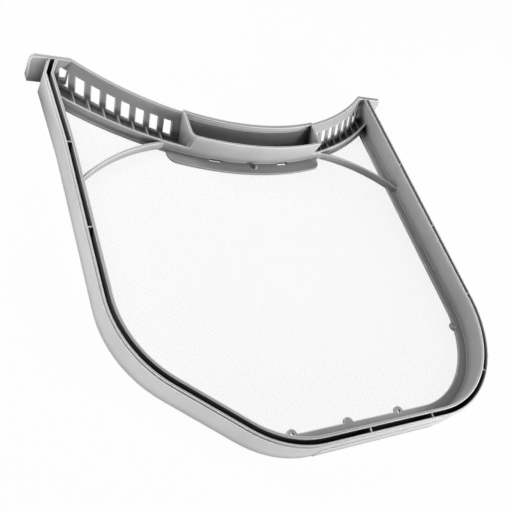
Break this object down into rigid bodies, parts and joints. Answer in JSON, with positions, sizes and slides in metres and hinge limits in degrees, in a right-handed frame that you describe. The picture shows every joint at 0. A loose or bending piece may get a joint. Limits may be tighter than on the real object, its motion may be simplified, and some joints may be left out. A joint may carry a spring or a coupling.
{
  "type": "tumble dryer lint filter",
  "caption": "Dryer lint filter: moulded frame with a channel rim, one cut corner, a slanted windowed handle band with a finger pocket, and a fine mesh behind it.",
  "frame": {"origin": "middle of the filter's outline, on the plane that the rim's back lies on", "axes": "+X across the filter towards the plain rounded corner's side, +Y towards the handle band, +Z out of the open side, away from the rim's back"},
  "size_m": [0.392, 0.3622, 0.0254],
  "materials": {
    "frame_plastic": "fine matte moulded plastic, light grey",
    "mesh_cloth": "fine white woven nylon, stretched flat"
  },
  "bodies": {
    "root": {"frame": "frame_plastic", "mesh_screen": "mesh_cloth"}
  },
  "joints": []
}
